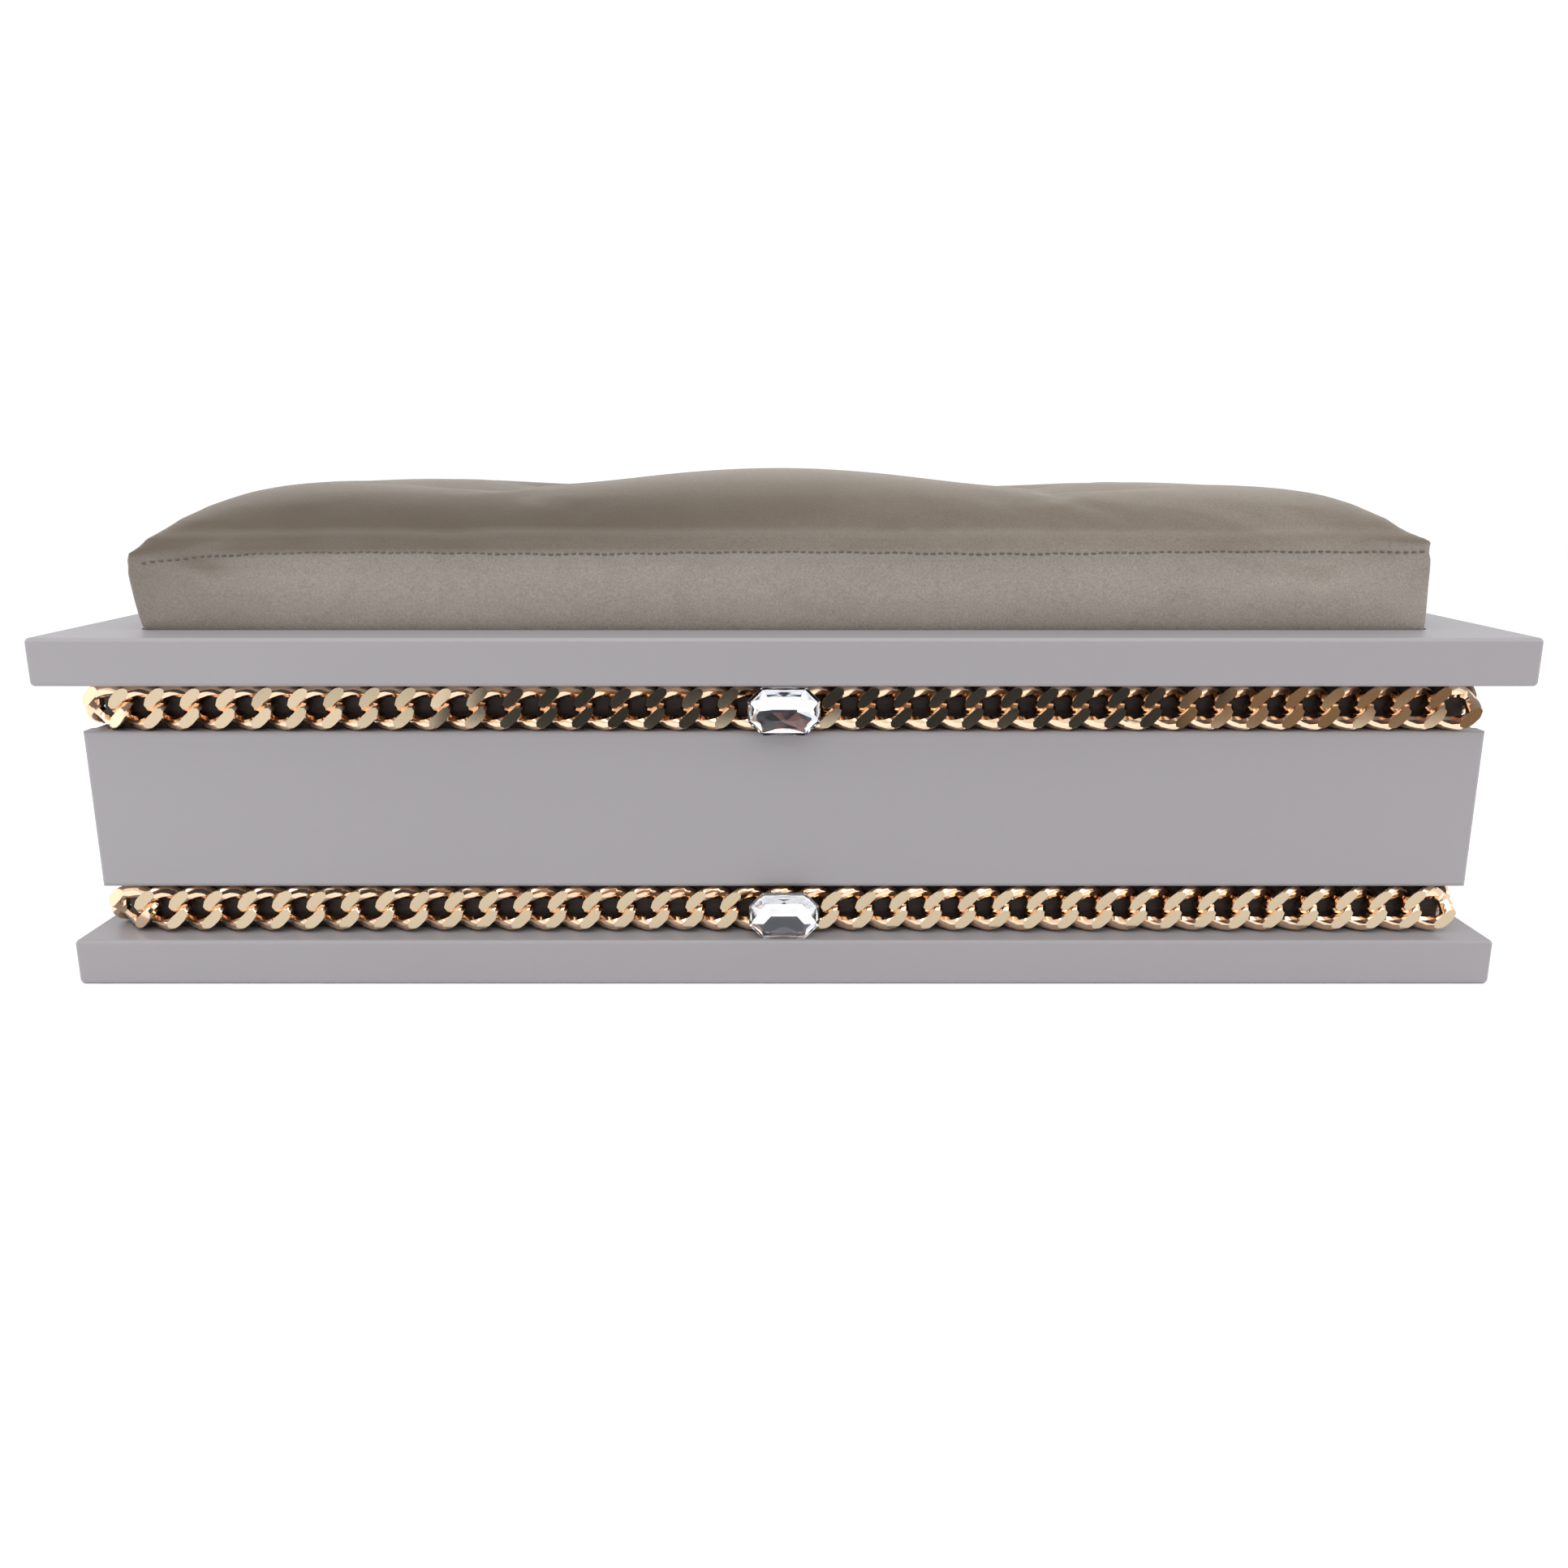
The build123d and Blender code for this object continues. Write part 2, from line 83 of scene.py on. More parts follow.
class Finish:
    # one material: a Principled shader and whatever feeds it
    def __init__(self, name, **fixed):
        self.material = bpy.data.materials.new(name)
        self.material.use_nodes = True
        self.tree = self.material.node_tree
        self.shader = self.tree.nodes["Principled BSDF"]
        for key, value in fixed.items():
            self.shader.inputs[key.replace("_", " ")].default_value = value
        self.place = self.node("ShaderNodeTexCoord").outputs["Object"]

    def node(self, kind, settings=None, sockets=None):
        node = self.tree.nodes.new(kind)
        for key, value in (settings or {}).items():
            if key == "stops":
                ramp = node.color_ramp
                while len(ramp.elements) < len(value):
                    ramp.elements.new(0.5)
                for element, (spot, colour) in zip(ramp.elements, value):
                    element.position = spot
                    element.color = (*colour, 1.0)
            else:
                setattr(node, key, value)
        for key, value in (sockets or {}).items():
            self.feed(node.inputs[key], value)
        return node

    def feed(self, socket, value):
        if isinstance(value, Value):
            value = value.socket
        if isinstance(value, bpy.types.NodeSocket):
            self.tree.links.new(value, socket)
        else:
            socket.default_value = value

    def noise(self, scale, detail=2.0, roughness=0.5, stretch=(1, 1, 1), distortion=0.0):
        place = self.node("ShaderNodeMapping", None, {"Vector": self.place, "Scale": stretch}).outputs[0]
        made = self.node("ShaderNodeTexNoise", None, {"Vector": place, "Scale": scale, "Detail": detail,
                                                      "Roughness": roughness, "Distortion": distortion})
        return Value(self.tree, made.outputs[0])

    def axis(self, letter, socket=None):
        parts = self.node("ShaderNodeSeparateXYZ", None, {"Vector": socket or self.place})
        return Value(self.tree, parts.outputs[letter])

    def ramp(self, value, *stops):
        return self.node("ShaderNodeValToRGB", {"stops": stops}, {"Fac": value}).outputs["Color"]

    def blend(self, amount, one, two, mode="MIX"):
        made = self.node("ShaderNodeMix", {"data_type": "RGBA", "blend_type": mode})
        self.feed(made.inputs[0], amount)
        self.feed(made.inputs[6], one if not isinstance(one, tuple) else (*one, 1.0))
        self.feed(made.inputs[7], two if not isinstance(two, tuple) else (*two, 1.0))
        return made.outputs[2]

    def colour(self, source):
        self.feed(self.shader.inputs["Base Color"], source)

    def rough(self, source):
        self.feed(self.shader.inputs["Roughness"], source)

    def bump(self, height, distance, strength=1.0):
        made = self.node("ShaderNodeBump", None, {"Height": height, "Distance": distance, "Strength": strength})
        self.feed(self.shader.inputs["Normal"], made.outputs["Normal"])


paint = {"colour": (0.266, 0.254, 0.268), "shade": (0.253, 0.241, 0.255), "peel": 0.00002, "rough": 0.42}
stain = {"colour": (0.020, 0.012, 0.011), "light": (0.040, 0.026, 0.022), "rough": 0.55}
birch = {"colour": (0.50, 0.36, 0.22), "dark": (0.36, 0.24, 0.13)}
# painted shade: the top colour, darker than the side, goes on the faces that point up
velvet = {"side": (0.243, 0.217, 0.189), "top": (0.130, 0.103, 0.078), "light": (0.33, 0.30, 0.265), "fill": 0.8,
          "pile": 1300.0}
# painted reflection: the colour given to the chain's ground flats stands in for the darker surroundings they reflect
gold = {"colour": (0.88, 0.68, 0.48), "rose": (0.85, 0.57, 0.39), "rough": 0.09, "facet_reflection_tint": (0.52, 0.42, 0.29)}


def makePaint():
    made = Finish("satinLacquer", Coat_Weight=0.15, Coat_Roughness=0.35)
    cloud = made.noise(9.0, 3.0)
    peel = made.noise(420.0, 2.0)
    made.colour(made.blend(cloud, paint["colour"], paint["shade"]))
    made.rough(paint["rough"] + 0.10 * cloud)
    made.bump(peel, paint["peel"])
    return made.material


def makeStain():
    made = Finish("darkStain")
    grain = made.noise(60.0, 5.0, 0.6, (1, 12, 14))
    made.colour(made.ramp(grain, (0.3, stain["colour"]), (0.75, stain["light"])))
    made.rough(stain["rough"] + 0.15 * grain)
    made.bump(grain, 0.0002)
    return made.material


def makeBirch():
    made = Finish("birchPly")
    grain = made.noise(22.0, 6.0, 0.62, (1, 16, 16), 0.4)
    flecks = made.noise(300.0, 2.0, 0.5, (0.12, 1, 1))
    tone = made.ramp(grain, (0.30, birch["dark"]), (0.62, birch["colour"]))
    made.colour(made.blend(0.35 * flecks, tone, (0.25, 0.16, 0.08)))
    made.rough(0.52 + 0.2 * flecks)
    made.bump(grain + 0.4 * flecks, 0.0002)
    return made.material


def makeVelvet(name, side, top, light, pile=620.0, seam=None, sheen=0.45):
    made = Finish(name, Sheen_Weight=sheen, Sheen_Roughness=0.34, Sheen_Tint=(0.95, 0.90, 0.83, 1.0))
    facing = made.axis("Z", made.node("ShaderNodeTexCoord").outputs["Normal"])
    upward = made.node("ShaderNodeMapRange", {"interpolation_type": "SMOOTHSTEP"},
                       {0: facing, 1: 0.15, 2: 0.75}).outputs[0]
    nap = made.noise(11.0, 3.0, 0.6, (1, 1.6, 2.2), 0.8)
    marks = made.noise(46.0, 4.0, 0.6, (1, 1, 1.6), 1.2)
    fibres = made.noise(pile, 4.0, 0.65)
    specks = made.noise(pile * 2.3, 2.0, 0.6)
    # painted shade: faces that point up take the darker top colour, the walls the lighter side colour
    body = made.blend(upward, side, top)
    swept = made.ramp(nap, (0.35, (0.0, 0.0, 0.0)), (0.72, (1.0, 1.0, 1.0)))
    body = made.blend(made.axis("X", swept) * 0.22, body, light)
    worn = made.ramp(marks, (0.46, (0.0, 0.0, 0.0)), (0.70, (1.0, 1.0, 1.0)))
    body = made.blend(made.axis("X", worn) * 0.10, body, tuple(0.5 * c for c in top))
    mottle = made.ramp(fibres, (0.34, (0.80, 0.80, 0.80)), (0.66, (1.14, 1.13, 1.12)))
    body = made.blend(1.0, body, mottle, "MULTIPLY")
    height = 0.7 * fibres + 0.3 * specks
    if seam:
        # painted shade makes the top above the sewn line darker, more so towards the left, and painted sheen makes
        # it lighter over the foam's edge
        left = made.node("ShaderNodeMapRange", {"interpolation_type": "SMOOTHSTEP"},
                         {0: made.axis("X"), 1: 0.17, 2: -0.10}).outputs[0]
        left = Value(made.tree, left) * Value(made.tree, upward)
        body = made.blend(0.85 * left, body, (0.066, 0.049, 0.034))
        # painted shade: the top is darker towards both ends
        ends = made.node("ShaderNodeMapRange", {"interpolation_type": "SMOOTHSTEP"},
                         {0: made.axis("X").size(), 1: 0.17, 2: 0.245}).outputs[0]
        ends = Value(made.tree, ends) * Value(made.tree, upward)
        body = made.blend(0.35 * ends, body, (0.080, 0.058, 0.040))
        # painted sheen: the velvet is lighter higher up over the crown
        painted_sheen_crest = made.node("ShaderNodeMapRange", {"interpolation_type": "SMOOTHSTEP"},
                          {0: made.axis("Z"), 1: seam + 0.016, 2: seam + 0.032}).outputs[0]
        body = made.blend(0.55 * Value(made.tree, painted_sheen_crest), body, (0.180, 0.148, 0.117))
        # painted shade: the left corner is darker at every height
        corner = made.node("ShaderNodeMapRange", {"interpolation_type": "SMOOTHSTEP"},
                           {0: made.axis("X"), 1: -0.17, 2: -0.25}).outputs[0]
        body = made.blend(0.35 * Value(made.tree, corner), body, (0.105, 0.084, 0.064))
        # painted light: the wall is made lighter at its foot and darker towards the seam, to even out the shade from
        # the lid's ledge below it
        painted_light_ramp = made.node("ShaderNodeMapRange", None,
                            {0: made.axis("Z"), 1: seam - pad["seam"], 2: seam, 3: 1.30, 4: 0.80}).outputs[0]
        painted_light_ramp = Value(made.tree, painted_light_ramp)
        body = made.blend(1.0, body, painted_light_ramp + (1 - painted_light_ramp) * Value(made.tree, upward), "MULTIPLY")
        # painted highlight: a lighter line along the fold just above the seam, which also gets a small real bump
        fold = 1 - ((made.axis("Z") - 0.004 * nap - (seam + 0.0052)).size() / 0.0022).least(1.0)
        body = made.blend(0.12 * fold, body, light)
        height = height + 0.25 * fold
    made.colour(body)
    made.rough(0.78 + 0.18 * fibres)
    made.bump(height, 0.00035, 0.9)
    return made.material


def makeFelt():
    made = Finish("baseFelt", Sheen_Weight=0.2)
    wool = made.noise(900.0, 3.0, 0.7)
    made.colour(made.ramp(wool, (0.3, (0.020, 0.018, 0.019)), (0.7, (0.050, 0.046, 0.047))))
    made.rough(0.92 + 0.06 * wool)
    made.bump(wool, 0.0003)
    return made.material


def makeMetal(name, colour, second, rough, scratch, stretch=(1, 1, 1), facet_reflection_tint=None):
    made = Finish(name, Metallic=1.0)
    tone = made.noise(38.0, 2.0)
    lines = made.noise(500.0, 3.0, 0.6, stretch)
    body = made.blend(tone, colour, second)
    if facet_reflection_tint:
        # painted reflection: the flats ground on the links are coloured duller and greener than the round wire,
        # standing in for the darker surroundings they reflect
        way = made.node("ShaderNodeTexCoord").outputs["Normal"]
        flat = made.axis("Y", way).size().most(made.axis("X", way).size())
        body = made.blend(1 - flat.below(0.992), body, facet_reflection_tint)
    made.colour(body)
    made.rough(rough + scratch * lines)
    made.bump(lines, 0.000002 if facet_reflection_tint else 0.000008)
    return made.material


def makeCrystal():
    made = Finish("clearCrystal", Transmission_Weight=1.0, IOR=1.54)
    film = made.noise(60.0, 1.0)
    made.colour(made.blend(film, (0.99, 0.99, 1.0), (0.96, 0.97, 0.99)))
    made.rough(0.006 * film)
    return made.material


def makeMirror():
    made = Finish("silveredMirror", Metallic=1.0)
    haze = made.noise(30.0, 3.0)
    made.colour(made.blend(haze, (0.86, 0.88, 0.89), (0.82, 0.84, 0.86)))
    made.rough(0.02 + 0.03 * haze)
    return made.material


finishes = {
    "paint": makePaint(),
    "dark_wood": makeStain(),
    "ply": makeBirch(),
    "lining": makeVelvet("liningVelvet", (0.20, 0.165, 0.145), (0.19, 0.155, 0.135), (0.27, 0.23, 0.20)),
    "felt": makeFelt(),
    "chain": makeMetal("paleRoseGold", gold["colour"], gold["rose"], gold["rough"], 0.04, facet_reflection_tint=gold["facet_reflection_tint"]),
    "brass": makeMetal("satinBrass", (0.74, 0.55, 0.30), (0.68, 0.49, 0.25), 0.24, 0.18, (1, 1, 9)),
    "steel": makeMetal("zincSteel", (0.58, 0.58, 0.60), (0.50, 0.50, 0.52), 0.28, 0.15),
    "crystal": makeCrystal(),
    "mirror": makeMirror(),
    "foil": makeMetal("silverFoil", (0.93, 0.93, 0.94), (0.88, 0.88, 0.90), 0.04, 0.03),
    "thread": makeVelvet("seamThread", (0.10, 0.085, 0.068), (0.10, 0.085, 0.068), (0.13, 0.11, 0.09)),
}
print("finishes ready:", len(finishes))


# modelling helpers
def only(*things):
    if bpy.context.object and bpy.context.object.mode != "OBJECT":
        bpy.ops.object.mode_set(mode="OBJECT")
    bpy.ops.object.select_all(action="DESELECT")
    for thing in things:
        thing.select_set(True)
    bpy.context.view_layer.objects.active = things[0]


def settle(thing):
    only(thing)
    bpy.ops.object.transform_apply(location=True, rotation=True, scale=True)


def wear(thing, name):
    thing.data.materials.clear()
    thing.data.materials.append(finishes[name])


def pick(thing, test, kind="FACE"):
    # selects faces or edges by a test on their middle and direction
    bpy.ops.mesh.select_mode(type=kind)
    bpy.ops.mesh.select_all(action="DESELECT")
    bpy.ops.object.mode_set(mode="OBJECT")
    mesh = thing.data
    if kind == "FACE":
        for face in mesh.polygons:
            face.select = bool(test(face.center, face.normal))
    else:
        for edge in mesh.edges:
            a, b = (mesh.vertices[i].co for i in edge.vertices)
            edge.select = bool(test((a + b) / 2, (b - a).normalized()))
    bpy.ops.object.mode_set(mode="EDIT")


def copies(source, places):
    # each copy gets its own mesh, then all are joined into one piece
    made = []
    for place in places:
        twin = source.copy()
        twin.data = source.data.copy()
        twin.data.transform(place)
        bpy.context.collection.objects.link(twin)
        made.append(twin)
    only(*made)
    bpy.ops.object.join()
    return bpy.context.object


for node in frame["record"]["subparts"]:
    name = node["node"]
    wear(frame["nodes"][name], node["material_slot"] if node["material_slot"] != "velvet" else "lining")

# curb chain
chain = {"halfLength": 8.3 * mm, "halfHeight": 6.35 * mm, "wire": 2.8 * mm, "twist": -134.0,
         "square": 0.80, "ends": 0.74, "flatten": 0.85, "cut": 3.5 * mm, "backCut": 2.5 * mm,
         "proud": 0.4 * mm, "pitch": 13.75 * mm, "wobble": 1.2, "nod": 2.8, "lean": 1.2, "seed": 5,
         "firstLeft": 14.9 * mm, "firstRight": 11.3 * mm, "lastLeft": 245.1 * mm, "lastRight": 254.0 * mm,
         "corner": (-257.6 * mm, 5.5 * mm, -20.0),
         "middle": -1.6 * mm, "sideProud": (1.2 * mm, -1.0 * mm), "sideStart": (6.0 * mm, 6.6 * mm)}


def makeLink():
    bpy.ops.object.select_all(action="DESELECT")
    bpy.ops.curve.primitive_bezier_circle_add(radius=1.0, rotation=(math.pi / 2, 0, 0))
    link = bpy.context.object
    link.scale = (chain["halfLength"], chain["halfHeight"], 1.0)
    bpy.ops.object.transform_apply(location=True, rotation=True, scale=True)
    link.data.dimensions = "3D"
    for point in link.data.splines[0].bezier_points:
        # longer handles square the loop up
        point.radius = 1.0
        flat = abs(point.co.z) > abs(point.co.x) * chain["halfHeight"] / chain["halfLength"]
        reach = chain["square"] * chain["halfLength"] if flat else chain["ends"] * chain["halfHeight"]
        for side, handle in (("left", point.handle_left), ("right", point.handle_right)):
            setattr(point, "handle_" + side + "_type", "FREE")
            setattr(point, "handle_" + side, point.co + (handle - point.co).normalized() * reach)
    link.data.resolution_u = 7
    link.data.bevel_depth = chain["wire"]
    link.data.bevel_resolution = 3
    bpy.ops.object.convert(target="MESH")
    link = bpy.context.object
    turn = link.modifiers.new("turn", "SIMPLE_DEFORM")
    turn.deform_method = "TWIST"
    turn.deform_axis = "X"
    turn.angle = math.radians(chain["twist"])
    bpy.ops.object.modifier_apply(modifier="turn")
    bpy.ops.object.mode_set(mode="EDIT")
    bpy.ops.mesh.select_all(action="SELECT")
    bpy.ops.mesh.remove_doubles(threshold=0.00001)
    bpy.ops.transform.resize(value=(1, chain["flatten"], 1))
    for way, depth in ((-1, chain["cut"]), (1, chain["backCut"])):
        bpy.ops.mesh.select_all(action="SELECT")
        bpy.ops.mesh.bisect(plane_co=(0, way * depth, 0), plane_no=(0, way, 0),
                            use_fill=True, clear_outer=True)
    bpy.ops.mesh.select_all(action="SELECT")
    bpy.ops.mesh.normals_make_consistent(inside=False)
    bpy.ops.object.mode_set(mode="OBJECT")
    bpy.ops.object.shade_smooth_by_angle(angle=math.radians(32))
    # the ground flats keep a crisp rim all round
    rims = {key for face in link.data.polygons if abs(face.normal.y) > 0.999 for key in face.edge_keys}
    for edge in link.data.edges:
        if edge.key in rims:
            edge.use_edge_sharp = True
    wear(link, "chain")
    return link


link = makeLink()
print("link faces:", len(link.data.polygons), "size", [round(s * 1000, 2) for s in link.dimensions])
dice = random.Random(chain["seed"])


def linkPlace(x, y, z, turn):
    tilt = Matrix.Rotation(math.radians(dice.uniform(-1, 1) * chain["wobble"]), 4, "Z")
    nod = Matrix.Rotation(math.radians(dice.uniform(-1, 1) * chain["nod"] - chain["lean"]), 4, "X")
    return Matrix.Translation((x, y, z)) @ Matrix.Rotation(turn, 4, "Z") @ tilt @ nod


def runPlaces(start, end):
    # even steps close to the pitch between two ends
    steps = round((end - start) / chain["pitch"])
    return [start + (end - start) * i / steps for i in range(steps + 1)]


def makeFrontChain(level, body):
    low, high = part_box(level + "_chain")
    y = low[1] + chain["cut"] - chain["proud"]
    z = (low[2] + high[2]) / 2
    places = [linkPlace(chain["middle"], y, z, 0.0)]
    for side, way in ((-1, "Left"), (1, "Right")):
        for x in runPlaces(chain["first" + way], chain["last" + way]):
            places.append(linkPlace(side * x, y, z, 0.0))
    x, back, turn = chain["corner"]
    places.append(linkPlace(x, low[1] + back, z, math.radians(turn)))
    piece = copies(link, places)
    piece.name = level + "_curb_chain"
    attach(piece, body)
    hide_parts(level + "_chain")


def makeSideChains(level):
    low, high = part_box(level + "_side_chains")
    z = (low[2] + high[2]) / 2
    reach = chain["halfLength"] + chain["wire"]
    places = []
    for side, proud, back in zip((-1, 1), chain["sideProud"], chain["sideStart"]):
        x = high[0] - chain["cut"] + proud
        for y in runPlaces(low[1] + reach + back, high[1] - reach):
            places.append(linkPlace(side * x, y, z, side * math.pi / 2))
    piece = copies(link, places)
    piece.name = level + "_side_curb_chains"
    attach(piece, "case")
    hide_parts(level + "_side_chains")


for level in ("upper", "lower"):
    makeFrontChain(level, level + "_drawer")
    makeSideChains(level)
bpy.data.objects.remove(link)
print("chains laid")

# crystal pulls
gem = {"corner": 5.2 * mm, "girdle": 1.0 * mm, "crown": ((1.3, 1.1), (1.9, 1.4)),
       "pavilion": ((1.7, 1.0), (6.9, 1.4)), "star": 0.10 * mm, "sink": 0.45 * mm}


def makeGem(level):
    low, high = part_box(level + "_pull_crystal")
    middle = Vector([(low[i] + high[i]) / 2 for i in range(3)]) - Vector((0, 0, gem["sink"]))
    width, height = high[0] - low[0], high[2] - low[2]
    front = low[1] + sum(rise for inset, rise in gem["crown"]) * mm
    only(frame["nodes"]["base_slab"])
    bpy.ops.object.select_all(action="DESELECT")
    bpy.ops.mesh.primitive_cube_add(size=1.0, location=(middle.x, front + gem["girdle"] / 2, middle.z))
    stone = bpy.context.object
    stone.scale = (width, gem["girdle"], height)
    settle(stone)
    bpy.ops.object.mode_set(mode="EDIT")
    pick(stone, lambda spot, way: abs(way.y) > 0.9, "EDGE")
    bpy.ops.mesh.bevel(offset=gem["corner"], segments=1, affect="EDGES")
    for way, steps in ((-1, gem["crown"]), (1, gem["pavilion"])):
        pick(stone, lambda spot, normal: normal.y * way > 0.9)
        for inset, rise in steps:
            bpy.ops.mesh.inset(thickness=inset * mm, depth=0.0)
            bpy.ops.transform.translate(value=(0, way * rise * mm, 0))
    # star facets round the crown, the ring under it and the slopes down to the keel
    pick(stone, lambda spot, normal: 0.05 < abs(normal.y) < 0.995)
    bpy.ops.mesh.poke(offset=gem["star"])
    bpy.ops.mesh.select_all(action="SELECT")
    bpy.ops.mesh.normals_make_consistent(inside=False)
    bpy.ops.object.mode_set(mode="OBJECT")
    bpy.ops.object.shade_flat()
    wear(stone, "crystal")
    stone.name = level + "_cut_crystal"
    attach(stone, level + "_drawer")
    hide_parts(level + "_pull_crystal")

    # silver foil close behind the stone
    foil = stone.copy()
    foil.data = stone.data.copy()
    bpy.context.collection.objects.link(foil)
    only(foil)
    bpy.ops.object.mode_set(mode="EDIT")
    bpy.ops.mesh.select_all(action="SELECT")
    bpy.ops.mesh.bisect(plane_co=(0, front + gem["girdle"] * 1.02, 0), plane_no=(0, -1, 0), clear_outer=True)
    bpy.ops.mesh.select_all(action="SELECT")
    bpy.ops.transform.translate(value=(0, 0.06 * mm, 0))
    bpy.ops.object.mode_set(mode="OBJECT")
    shell = foil.modifiers.new("shell", "SOLIDIFY")
    shell.thickness = 0.12 * mm
    shell.offset = 1.0
    bpy.ops.object.modifier_apply(modifier="shell")
    wear(foil, "foil")
    foil.name = level + "_foil_back"
    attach(foil, level + "_drawer")


for level in ("upper", "lower"):
    makeGem(level)
print("crystals cut")

# velvet cushion
pad = {"seam": 29.0 * mm, "ridge": 36.0 * mm, "plain": 20.5 * mm, "uneven": 0.06, "rollX": 100.0 * mm,
       "rollY": 82.0 * mm, "fullX": 3.0, "fullY": 3.6, "hump": 5.2 * mm, "humpWide": 73.0 * mm,
       "dimple": 10.0 * mm, "dimpleWide": 22.0 * mm, "pull": 4.0 * mm, "pullWide": 79.0 * mm,
       "voxel": 5.0 * mm, "pressure": 4.0, "cap": 3.0 * mm, "start": 2.5 * mm, "inset": 1.5 * mm,
       "edgeLift": 4.2 * mm, "edgeWide": 13.0 * mm, "foot": 4.4 * mm, "ear": (11.4 * mm, 6.4 * mm), "earZ": (27.6 * mm, 32.5 * mm),
       "earCurve": (0.9, 3.0), "sharp": 28,
       "stitch": 2.9 * mm, "button": 11.0 * mm, "buttonX": 120.0 * mm, "buttonY": 75.0 * mm}
padLow, padHigh = [Vector(corner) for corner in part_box("cushion")]
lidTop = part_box("lid_slab")[1][2]


def crownHeight(x, y):
    # height above the ridge: steep at the border, then full, with a middle hump and four pulled-in buttons
    inX = max(padHigh.x - abs(x), 0.0)
    inY = max(padHigh.y - abs(y), 0.0)
    riseX = 1 - (1 - min(inX / pad["rollX"], 1)) ** pad["fullX"]
    riseY = 1 - (1 - min(inY / pad["rollY"], 1)) ** pad["fullY"]
    rise = pad["plain"] * riseX * riseY * (1 - pad["uneven"] * x / padHigh.x)
    hump = pad["hump"] * math.exp(-(x / pad["humpWide"]) ** 2) * riseY
    hump += pad["edgeLift"] * riseY * inX / pad["edgeWide"] * math.exp(1 - inX / pad["edgeWide"])
    dip = 0.0
    for sx in (-1, 1):
        for sy in (-1, 1):
            away = math.hypot(x - sx * pad["buttonX"], y - sy * pad["buttonY"])
            dip += pad["dimple"] * math.exp(-(away / pad["dimpleWide"]) ** 2)
            dip += pad["pull"] * math.exp(-(away / pad["pullWide"]) ** 2)
    return rise + hump - dip * min(1.0, riseX, riseY)


def seamHeight(x, y):
    # the sewn line runs nearly level, and drops towards one front corner
    drop = 4.2 * mm * math.exp(-(padHigh.x + x) / (22 * mm)) if y < 0 else 1.5 * mm * math.exp(-(padHigh.x + x) / (22 * mm))
    lift = 0.9 * mm * math.exp(-(padHigh.x - x) / (30 * mm))
    return lidTop + pad["seam"] - drop + lift


def makeCushion():
    only(frame["nodes"]["base_slab"])
    bpy.ops.object.select_all(action="DESELECT")
    size = padHigh - padLow
    bpy.ops.mesh.primitive_cube_add(size=1.0, location=(padLow + padHigh) / 2)
    body = bpy.context.object
    body.scale = (size.x - 2 * pad["inset"], size.y - 2 * pad["inset"], lidTop + pad["ridge"] - padLow.z)
    body.location.z = (padLow.z + lidTop + pad["ridge"]) / 2
    settle(body)
    bpy.ops.object.mode_set(mode="EDIT")
    bpy.ops.mesh.select_all(action="SELECT")
    bpy.ops.mesh.subdivide(number_cuts=60)
    bpy.ops.object.mode_set(mode="OBJECT")
    floor = padLow.z
    top = lidTop + pad["ridge"]
    for vertex in body.data.vertices:
        spot = vertex.co
        part = (spot.z - floor) / (top - floor)
        if part > 0.999:
            spot.z = top + crownHeight(spot.x, spot.y) - pad["start"]
    remesh = body.modifiers.new("remesh", "REMESH")
    remesh.mode = "VOXEL"
    remesh.voxel_size = pad["voxel"]
    bpy.ops.object.modifier_apply(modifier="remesh")
    body.name = "velvet_cushion"
    start = [vertex.co.copy() for vertex in body.data.vertices]
    swell(body, start)
    shapeCushion(body)
    return body


def swell(body, start):
    hold = body.vertex_groups.new(name="hold")
    held = []
    for vertex in body.data.vertices:
        spot = vertex.co
        nearButton = min(math.hypot(spot.x - sx * pad["buttonX"], spot.y - sy * pad["buttonY"])
                         for sx in (-1, 1) for sy in (-1, 1))
        if spot.z < lidTop + 2 * mm or (nearButton < pad["button"] and spot.z > lidTop + pad["ridge"]):
            held.append(vertex.index)
    hold.add(held, 1.0, "REPLACE")
    cloth = body.modifiers.new("cloth", "CLOTH")
    cloth.settings.quality = 5
    cloth.settings.mass = 0.3
    cloth.settings.use_pressure = True
    cloth.settings.uniform_pressure_force = pad["pressure"]
    cloth.settings.effector_weights.gravity = 0.0
    cloth.settings.vertex_group_mass = "hold"
    cloth.point_cache.frame_start = 1
    cloth.point_cache.frame_end = 20
    for step in range(1, 21):
        scene.frame_set(step)
    shaped = body.evaluated_get(bpy.context.evaluated_depsgraph_get())
    ends = [vertex.co.copy() for vertex in shaped.data.vertices]
    body.modifiers.remove(cloth)
    scene.frame_set(1)
    for vertex, old, new in zip(body.data.vertices, start, ends):
        move = new - old
        if move.length > pad["cap"]:
            move = move.normalized() * pad["cap"]
        vertex.co = old + move


